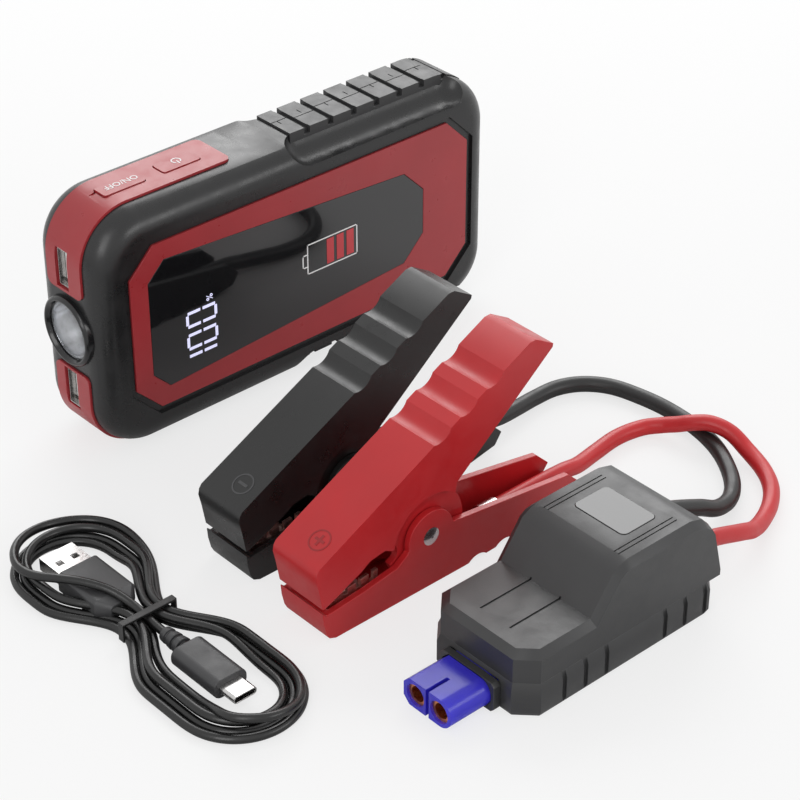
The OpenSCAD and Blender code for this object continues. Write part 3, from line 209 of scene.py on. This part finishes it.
# clear and translucent parts
m, t, s = new_material("clear_lens", (0.8, 0.81, 0.82), 0.22, Transmission_Weight=1.0, IOR=1.49)
bump(t, s, noise(t, 500, 2), 0.000004)
M["lens_clear"] = m
blue = (0.045, 0.035, 0.62)
m, t, s = new_material("blue_nylon", blue, 0.22, Transmission_Weight=0.25, IOR=1.45,
                       Subsurface_Weight=0.25, Subsurface_Radius=(0.001, 0.001, 0.003))
vary_colour(t, s, blue, 1.25, noise(t, 70, 3))
bump(t, s, noise(t, 1500, 2), 0.00001)
M["plug_blue"] = m
m, t, s = new_material("lit_digits", (0.7, 0.7, 0.95), 0.4, Emission_Strength=0.62,
                       Emission_Color=(0.72, 0.72, 1.0, 1))
vary_colour(t, s, (0.7, 0.7, 0.95), 0.9, noise(t, 900, 2))
M["lit_digits"] = m

# the material slot of each CAD node
SLOT_NODES = {
    "shell_grey": "front_shell rear_shell",
    "grip_rubber": "grip_top grip_bottom",
    "face_red": "face_frame trim_upper trim_lower power_button onoff_button",
    "window_black": "display_window",
    "module_black": "display_module button_switches box_relay",
    "bezel_black": "torch_bezel",
    "reflector_chrome": "torch_reflector",
    "lens_clear": "torch_lens",
    "led_yellow": "torch_led",
    "port_metal": "usb_port_upper usb_port_lower usb_c_port usb_a_shell usb_c_shell",
    "tongue_white": "usb_tongues",
    "plug_blue": "socket_housing plug_housing",
    "contact_brass": "socket_pins",
    "cover_rubber": "socket_cover",
    "cell_foil": "battery_cells",
    "board_green": "main_pcb box_pcb",
    "screw_steel": "housing_screws box_screws",
    "box_grey": "box_base box_cover plug_collar lead_glands",
    "badge_black": "box_badge",
    "contact_copper": "plug_contacts",
    "lead_red": "lead_red",
    "lead_black": "lead_black",
    "cable_black": "usb_bundle",
    "plug_grey": "usb_a_plug usb_c_plug",
    "tie_black": "cable_tie",
}
SLOTS = {n: slot for slot, nodes in SLOT_NODES.items() for n in nodes.split()}
for c in ("red", "black"):
    SLOTS.update({c + "_clamp_lower": "clamp_" + c, c + "_clamp_upper": "clamp_" + c,
                  c + "_rivet": "rivet_steel", c + "_spring": "spring_steel", c + "_crimp": "crimp_steel",
                  c + "_jaw_lower": "jaw_copper", c + "_jaw_upper": "jaw_copper"})
BODY = {n: b for b, parts in frame["record"]["behaviour"]["bodies"].items() for n in parts}
for n, o in NODES.items():
    if not o.material_slots:
        o.data.materials.append(M[SLOTS[n]])
    for s in o.material_slots:
        s.material = M[SLOTS[n]]


def finish_piece(o, body, slot, mat=None):
    """Links a piece, gives it its material and makes it ride on its body."""
    if o.name not in bpy.context.scene.collection.objects:
        bpy.context.scene.collection.objects.link(o)
    o.data.materials.clear()
    o.data.materials.append(M[mat or slot])
    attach(o, body)
    return o


def mesh_piece(name, bm, body, slot, mat=None, smooth=30):
    """Turns a bmesh into a piece, smooth apart from its edges over the given angle."""
    me = bpy.data.meshes.new(name)
    bmesh.ops.recalc_face_normals(bm, faces=bm.faces)
    for f in bm.faces:
        f.smooth = True
    for e in bm.edges:
        e.smooth = len(e.link_faces) != 2 or e.calc_face_angle(0) < math.radians(smooth)
    bm.to_mesh(me)
    bm.free()
    return finish_piece(bpy.data.objects.new(name, me), body, slot, mat)


EDGE_ANGLE = 32       # edges sharper than this, in degrees, are rounded


def refined(node, width):
    """The CAD node's own shape as a clean mesh, with small rounded edges of the given width in millimetres."""
    bm = bmesh.new()
    bm.from_mesh(NODES[node].data)
    bmesh.ops.remove_doubles(bm, verts=bm.verts, dist=2e-6)
    bmesh.ops.dissolve_limit(bm, angle_limit=math.radians(0.6), verts=bm.verts, edges=bm.edges)
    o = mesh_piece(node + "_look", bm, BODY[node], SLOTS[node], smooth=EDGE_ANGLE)
    if width:
        b = o.modifiers.new("edges", "BEVEL")
        b.width = width * MM
        b.segments = 2
        b.limit_method = "ANGLE"
        b.angle_limit = math.radians(EDGE_ANGLE)
        b.harden_normals = True
        b.use_clamp_overlap = True
    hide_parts(node)


# ---------------------------------------------------------------- cords
def curve(name, points, diameter, body, slot, resolution, sides, handles=True):
    """A round cord on one spline: through the points with handles, or else drawn towards them, in millimetres."""
    c = bpy.data.curves.new(name, "CURVE")
    c.dimensions = "3D"
    c.bevel_depth = diameter / 2 * MM
    c.bevel_resolution = sides
    c.resolution_u = resolution
    c.use_fill_caps = True
    if handles:
        sp = c.splines.new("BEZIER")
        sp.bezier_points.add(len(points) - 1)
        P = [V(*p) for p in points]
        for i, b in enumerate(sp.bezier_points):
            a, z = P[max(i - 1, 0)], P[min(i + 1, len(P) - 1)]
            d = (z - a).normalized()
            b.co = P[i]
            b.handle_left_type = b.handle_right_type = "FREE"
            b.handle_left = P[i] - d * (P[i] - a).length / 3
            b.handle_right = P[i] + d * (z - P[i]).length / 3
    else:
        sp = c.splines.new("NURBS")
        sp.points.add(len(points) - 1)
        for b, p in zip(sp.points, points):
            b.co = (*V(*p), 1)
        sp.order_u = 4
        sp.use_endpoint_u = True
    return finish_piece(bpy.data.objects.new(name, c), body, slot)


def spline_length(o):
    """Length of a cord's centre line, in metres."""
    dg = bpy.context.evaluated_depsgraph_get()
    c = o.data.copy()
    c.bevel_depth = 0
    p = bpy.data.objects.new("ruler", c)
    bpy.context.scene.collection.objects.link(p)
    dg.update()
    me = bpy.data.meshes.new_from_object(p.evaluated_get(dg))
    n = sum((me.vertices[e.vertices[0]].co - me.vertices[e.vertices[1]].co).length for e in me.edges)
    bpy.data.objects.remove(p)
    bpy.data.curves.remove(c)
    bpy.data.meshes.remove(me)
    return n


LEAD_D = 5.4
CABLE_D = 2.8
GLAND_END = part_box("lead_glands")[1].x / MM
RED_ROUTE = [
    (GLAND_END, -94.95, 15.4), (GLAND_END + 5, -94.8, 14.6), (35.5, -94.3, 9.6), (43.5, -92.6, 5.8),
    (52, -89.2, 3.5), (60.5, -84.8, 2.8), (67.5, -79, 2.8), (73, -71, 2.8), (76, -61.5, 4), (76, -54, 7),
    (73.3, -48, 8.6), (70.6, -43, 7.6), (68.6, -38.4, 5.6), (66.4, -33.6, 3.8), (61.4, -29.2, 2.8),
    (51.5, -27.6, 2.8), (39.5, -29, 2.9), (29, -31.6, 4.4), (22, -32.2, 5.8), (10, -32.2, 6.1),
    (-13.25, -32.2, 6.1)]
BLACK_ROUTE = [
    (GLAND_END, -75.95, 15.4), (GLAND_END + 5, -76, 14.6), (35.5, -77.2, 9.4), (43.5, -77.4, 5.4),
    (52, -75.2, 3.2), (59.2, -70.4, 2.8), (66, -62, 2.8), (71.4, -52, 2.8), (74.6, -40.5, 2.8),
    (75.6, -28, 2.8), (74.6, -17, 2.8), (71.6, -5.6, 2.8), (65.6, 2, 2.8), (57.4, 6, 2.8), (47.4, 6.4, 3),
    (38, 5.2, 3.8), (30, 4.2, 4.6), (22.5, 3.9, 5.8), (10, 3.9, 6.1), (-12.25, 3.9, 6.1)]
for colour, way in (("red", RED_ROUTE), ("black", BLACK_ROUTE)):
    lead = curve("lead_" + colour + "_silicone", way, LEAD_D, "lead_set", "lead_" + colour, 10, 6)
    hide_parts("lead_" + colour)
    spline_length(lead)

a_lo, a_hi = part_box("usb_a_plug")
c_lo, c_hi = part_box("usb_c_plug")
a_mid, c_mid = (a_lo + a_hi) / 2, (c_lo + c_hi) / 2
BUNDLE_X = -118.5     # the middle line of the wound cable
SWELL = 24            # length over which the turns widen from the waist


def half_loop(out, up, a, r, z, n_side=9, n_arc=12):
    """Half a turn of the wound cable. a is the half width at the waist and r the loop's radius, both at the
    start and the end, and z the heights at the start, the loop's two sides and the end."""
    s, yc, side = (1, 34.0, -1) if up else (-1, 44.0, 1)

    def leg(i, sign, k):
        """A point between the waist and the loop, on the way out for k = 0 and back for k = 1."""
        y = yc * i / n_side
        z0, z1 = (z[0], z[1]) if k == 0 else (z[3], z[2])
        return (sign * (a[k] + (r[k] - a[k]) * ease((y - 1) / SWELL)), s * y,
                z0 + (z1 - z0) * ease((i / n_side - 0.45) / 0.5))

    for i in range(n_side):
        out.append(leg(i, side, 0))
    for i in range(n_arc + 1):
        k = i / n_arc
        rr, th = r[0] + (r[1] - r[0]) * ease(k), math.pi * k
        out.append((side * rr * math.cos(th), s * (yc + rr * math.sin(th)), z[1] + (z[2] - z[1]) * ease(k)))
    for i in range(n_side - 1, 0, -1):
        out.append(leg(i, -side, 1))


def charging_route():
    """From the small plug over the waist, round the two loops and back under the waist to the large plug."""
    cx, ax = c_mid.x / MM - BUNDLE_X, a_mid.x / MM - BUNDLE_X
    cy, ay = c_hi.y / MM, a_lo.y / MM
    p = [(cx, cy, 3.8), (cx, cy + 4, 3.9), (-0.2, -3, 4.3), (-0.4, 1.5, 5.1), (-1.6, 6.5, 7.0),
         (-3.8, 11.5, 8.8), (-6.9, 17, 9.5), (-10.4, 22.5, 9.4), (-13.6, 28, 8.4), (-16.2, 33.5, 7.5)]
    for i in range(1, 13):
        k = i / 12
        rr, th = 17.2 + 3.3 * ease(k / 0.9), math.pi * k
        p.append((-rr * math.cos(th), 35 + rr * math.sin(th) * 0.98, 7.2 - 2.8 * ease((k - 0.15) / 0.6)))
    p += [(20.4, 29, 3.5), (19.4, 23, 2.3), (16.6, 17.4, 1.6), (12.8, 11.6, 1.45), (9.4, 6, 1.45)]
    w1, w2, w3, w4, r1, r2, r3, z = 7.4, 4.45, 3.1, 6.0, 18.7, 15.8, 12.8, 1.45
    half_loop(p, False, (w1, w1), (r1, r1), (z, z, z, z))
    half_loop(p, True, (w1, w2), (r1, r2), (z, z, z, z))
    half_loop(p, False, (w2, w2), (r2, r2), (z, z, z, z))
    half_loop(p, True, (w2, w3), (r2, r3), (z, z, z, 4.3))
    half_loop(p, False, (w3, w3), (r3, 14.3), (4.3, z, 4.3, 4.3))
    half_loop(p, True, (w3, w4), (14.3, 17.3), (4.3, 4.3, 4.3, 4.3))
    for i in range(9):
        y = 44 * i / 9
        p.append((w4 + (17.0 - w4) * ease((y - 1) / SWELL), -y, 4.3))
    for i in range(8):
        k = i / 12
        rr, th = 17.0 + 1.6 * ease(k / 0.4), math.pi * k
        p.append((rr * math.cos(th), -44 - rr * math.sin(th), 4.35 + 2.95 * ease((k - 0.3) / 0.3)))
    p += [(-11.6, -56.2, 7.3), (-11.4, -49.5, 5.8), (-10.1, -42.5, 2.7), (-9.6, -36, 1.5), (-9.5, -29, 1.45),
          (-9.3, -22, 1.45), (-6.9, -15, 1.45), (-3.0, -9, 1.45), (-0.6, -4, 1.45), (-0.2, 0, 1.45),
          (-0.4 + (ax + 0.6) / 2, 4, 2.0), (ax, ay - 3.5, 3.2), (ax, ay, 3.85)]
    return [(BUNDLE_X + x, y, h) for x, y, h in p]


way = charging_route()
cable = curve("charging_cable", way, CABLE_D, "usb_cable", "cable_black", 5, 5, handles=False)
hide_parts("usb_bundle")

# ---------------------------------------------------------------- CAD shapes with rounded edges
# widths of the rounded edges, in millimetres, in the order in which the pieces are made
for w, nodes in (
        (0.35, "front_shell rear_shell"),
        (0.3, "grip_top grip_bottom"),
        (0.15, "face_frame"),
        (0.12, "display_window"),
        (0.4, "trim_upper trim_lower"),
        (0.3, "power_button onoff_button"),
        (0.4, "torch_bezel"),
        (0.1, "usb_port_upper usb_port_lower"),
        (0.3, "socket_cover"),
        (0.35, "box_base"),
        (0.5, "box_cover"),
        (0.2, "box_badge plug_collar"),
        (0.35, "plug_housing"),
        (0.4, "lead_glands usb_a_plug"),
        (0.12, "usb_a_shell"),
        (0.3, "usb_c_plug"),
        (0.1, "usb_c_shell"),
        (0.4, "red_clamp_lower"),
        (0.5, "red_clamp_upper"),
        (0.4, "black_clamp_lower"),
        (0.5, "black_clamp_upper"),
        (0, "red_rivet black_rivet"),
        (0.12, "red_jaw_lower red_jaw_upper black_jaw_lower black_jaw_upper"),
        (0.15, "red_crimp black_crimp"),
        (0.2, "cable_tie socket_housing"),
        (0.1, "housing_screws box_screws"),
):
    for n in nodes.split():
        refined(n, w)
spline_length(cable)

# ---------------------------------------------------------------- marks on the faces
PANE_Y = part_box("display_window")[0].y / MM
MARK_T = 0.12         # thickness of a mark
LIFT = MARK_T / 2 - 0.02    # height of a mark's middle over its face
BUTTON_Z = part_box("onoff_button")[1].z / MM


def bars(name, boxes, body, slot, mat):
    """Thin raised marks, each a box given as (x0, x1, y0, y1, z0, z1) in millimetres."""
    bm = bmesh.new()
    for x0, x1, y0, y1, z0, z1 in boxes:
        size, mid = V(x1 - x0, y1 - y0, z1 - z0), V(x0 + x1, y0 + y1, z0 + z1) / 2
        bmesh.ops.create_cube(bm, size=1, matrix=Matrix.Translation(mid) @ Matrix.Diagonal((*size, 1)))
    return mesh_piece(name, bm, body, slot, mat)


def lettering(name, text, size, centre, right, up, body, slot, mat):
    """Letters laid flat on a face, centred on a point in millimetres."""
    c = bpy.data.curves.new(name + "_curve", "FONT")
    c.body, c.size, c.extrude = text, size * MM, MARK_T / 2 * MM
    c.align_x, c.align_y = "CENTER", "CENTER"
    c.resolution_u = 3
    o = bpy.data.objects.new(name + "_curve", c)
    bpy.context.scene.collection.objects.link(o)
    bpy.context.view_layer.update()
    me = bpy.data.meshes.new_from_object(o.evaluated_get(bpy.context.evaluated_depsgraph_get()))
    bpy.data.objects.remove(o)
    right, up = Vector(right), Vector(up)
    turn = Matrix((right, up, right.cross(up))).transposed().to_4x4()
    me.transform(Matrix.Translation(V(*centre)) @ turn)
    bm = bmesh.new()
    bm.from_mesh(me)
    bpy.data.meshes.remove(me)
    bmesh.ops.remove_doubles(bm, verts=bm.verts, dist=1e-6)
    return mesh_piece(name, bm, body, slot, mat)


def ring_mark(name, centre, right, up, radius, width, body, slot, mat, start=0, stop=360, extra=()):
    """An open or closed ring with optional bars (x0, x1, y0, y1), flat on a face."""
    bm = bmesh.new()
    right, up = Vector(right), Vector(up)
    out = right.cross(up)
    mid, n, half = V(*centre), 40, MARK_T / 2
    closed = stop - start == 360
    loop = []
    for i in range(n if closed else n + 1):
        th = math.radians(start + (stop - start) * i / n)
        d = right * math.cos(th) + up * math.sin(th)
        section = ((-width / 2, -half), (width / 2, -half), (width / 2, half), (-width / 2, half))
        loop.append([bm.verts.new(mid + d * (radius + dr) * MM + out * dz * MM) for dr, dz in section])
    for i in range(n):
        a, b = loop[i], loop[(i + 1) % len(loop)]
        for k in range(4):
            bm.faces.new((a[k], a[(k + 1) % 4], b[(k + 1) % 4], b[k]))
    if not closed:
        bm.faces.new(loop[0])
        bm.faces.new(loop[-1][::-1])
    for x0, x1, y0, y1 in extra:
        low, high = ([bm.verts.new(mid + (right * x + up * y + out * z) * MM)
                      for x, y in ((x0, y0), (x1, y0), (x1, y1), (x0, y1))] for z in (-half, half))
        bm.faces.new(low[::-1])
        bm.faces.new(high)
        for k in range(4):
            bm.faces.new((low[k], low[(k + 1) % 4], high[(k + 1) % 4], high[k]))
    return mesh_piece(name, bm, body, slot, mat)


# number display: two noughts and a one, read upwards, with their tops towards -X
front, back = PANE_Y - MARK_T, PANE_Y
UPRIGHTS = ((-44.6, -39.6), (-38.6, -33.6))     # upper and lower segments, in x
segments = []
for z0, z1 in ((29.8, 35.8), (38.0, 43.9)):
    for a, b in ((-45.3, -44.3), (-33.9, -32.9)):
        segments.append((a, b, front, back, z0 + 1.2, z1 - 1.2))
    for a, b in ((z0, z0 + 1), (z1 - 1, z1)):
        segments += [(x0, x1, front, back, a, b) for x0, x1 in UPRIGHTS]
segments += [(x0, x1, front, back, 27.0, 28.0) for x0, x1 in UPRIGHTS]
pack, pane_slot = BODY["display_window"], SLOTS["display_window"]
bars("display_digits", segments, pack, pane_slot, "lit_digits")
lettering("display_percent", "%", 3.6, (-35.5, PANE_Y - MARK_T / 2, 46.3), (0, 0, 1), (-1, 0, 0),
          pack, pane_slot, "lit_digits")

# battery symbol with its level
line = 0.4
outline = [(5, 26.8, 38.4, 38.4 + line), (5, 26.8, 49.7 - line, 49.7), (5, 5 + line, 38.4, 49.7),
           (26.8 - line, 26.8, 38.4, 49.7), (3, 5, 41.2, 41.2 + line), (3, 5, 46.2 - line, 46.2),
           (3, 3 + line, 41.2, 46.2)]
bars("battery_outline", [(x0, x1, front, back, z0, z1) for x0, x1, z0, z1 in outline], pack, pane_slot, "white_print")
bars("battery_level", [(a, b, front, back, 39.4, 48.7) for a, b in ((13.5, 16.5), (17.8, 20.8), (22.1, 25.2))],
     pack, pane_slot, "red_print")

# marks on the keys, read from behind the pack
away, towards = (-1, 0, 0), (0, -1, 0)
lettering("onoff_letters", "ON/OFF", 3.5, (-54.2, 89.6, BUTTON_Z + LIFT), away, towards,
          BODY["onoff_button"], "face_red", "white_print")
ring_mark("power_symbol", (-32.6, 89.6, BUTTON_Z + LIFT), away, towards, 1.5, 0.42,
          BODY["power_button"], "face_red", "white_print", 125, 415, [(-0.21, 0.21, 0.2, 2.1)])

# plus and minus on the clamps' backs
BACK_ANGLE = math.radians(27)
NOSE = (-44.2, 8.6)         # start of the back, from the clamp's pivot, in x and z
PIVOT_Z = 18.2
EMBLEM_AT, EMBLEM_SIDE = 8.7, -2.4      # along the back, and across it
along = Vector((math.cos(BACK_ANGLE), 0, math.sin(BACK_ANGLE)))
normal = Vector((-math.sin(BACK_ANGLE), 0, math.cos(BACK_ANGLE)))
minus = [(-1.9, 1.9, -0.45, 0.45)]
upright = [(-0.45, 0.45, 0.45, 1.9), (-0.45, 0.45, -1.9, -0.45)]
for colour, x, y, sign in (("red", -43.3, -32.2, minus + upright), ("black", -42.3, 3.9, minus)):
    place = Vector((x + NOSE[0], y + EMBLEM_SIDE, PIVOT_Z + NOSE[1])) + along * EMBLEM_AT + normal * (0.2 + LIFT)
    node = colour + "_clamp_upper"
    ring_mark(colour + "_polarity", place, (0, -1, 0), along, 3.4, 0.5, BODY[node], SLOTS[node],
              colour + "_relief", extra=sign)

# ---------------------------------------------------------------- floor, light and world
bm = bmesh.new()
bmesh.ops.create_grid(bm, x_segments=2, y_segments=2, size=4)
me = bpy.data.meshes.new("floor")
bm.to_mesh(me)
bm.free()
floor = bpy.data.objects.new("floor", me)
floor.location.z = cad_box[0][2] - 0.0002
bpy.context.scene.collection.objects.link(floor)
fm, t, s = new_material("pale_floor", (0.86, 0.86, 0.86), 0.7, spec=0.2)
bump(t, s, noise(t, 60, 3), 0.0001)
lit = add(t, "ShaderNodeEmission", Strength=1.0)
path = add(t, "ShaderNodeLightPath")
seen = add(t, "ShaderNodeMath", operation="MAXIMUM")
t.links.new(path.outputs["Is Camera Ray"], seen.inputs[0])
t.links.new(path.outputs["Is Transmission Ray"], seen.inputs[1])
part = add(t, "ShaderNodeMath", operation="MULTIPLY")
part.inputs[1].default_value = 0.72
t.links.new(seen.outputs["Value"], part.inputs[0])
mix = add(t, "ShaderNodeMixShader")
t.links.new(part.outputs["Value"], mix.inputs["Fac"])
t.links.new(s.outputs["BSDF"], mix.inputs[1])
t.links.new(lit.outputs["Emission"], mix.inputs[2])
t.links.new(mix.outputs["Shader"], t.nodes["Material Output"].inputs["Surface"])
me.materials.append(fm)

world = bpy.data.worlds.new("studio")
bpy.context.scene.world = world
world.use_nodes = True
t = world.node_tree
bg = t.nodes["Background"]
bg.inputs["Color"].default_value = (1, 1, 1, 1)
path = add(t, "ShaderNodeLightPath")
a = add(t, "ShaderNodeMath", operation="MAXIMUM")
b = add(t, "ShaderNodeMath", operation="MAXIMUM")
t.links.new(path.outputs["Is Camera Ray"], a.inputs[0])
t.links.new(path.outputs["Is Glossy Ray"], a.inputs[1])
t.links.new(a.outputs["Value"], b.inputs[0])
t.links.new(path.outputs["Is Transmission Ray"], b.inputs[1])
t.links.new(ramp(t, b.outputs["Value"], 0, 1, 0.5, 1.0), bg.inputs["Strength"])


def area(name, place, aim, size, power, colour=(1, 1, 1)):
    d = bpy.data.lights.new(name, "AREA")
    d.shape = "RECTANGLE"
    d.size, d.size_y = size
    d.energy = power
    d.color = colour
    o = bpy.data.objects.new(name, d)
    o.location = place
    o.rotation_euler = (Vector(aim) - Vector(place)).to_track_quat("-Z", "Y").to_euler()
    bpy.context.scene.collection.objects.link(o)
    return o


area("top_softbox", (0.7, 0.8, 0.75), (0, 0, 0), (1.2, 0.8), 10)
area("side_softbox", (-1.0, -0.5, 0.7), (0, 0, 0.04), (0.5, 0.9), 4)
area("front_softbox", (0.5, -1.2, 0.6), (0, 0, 0.04), (0.9, 0.4), 3)

bpy.context.scene.view_settings.view_transform = "Standard"
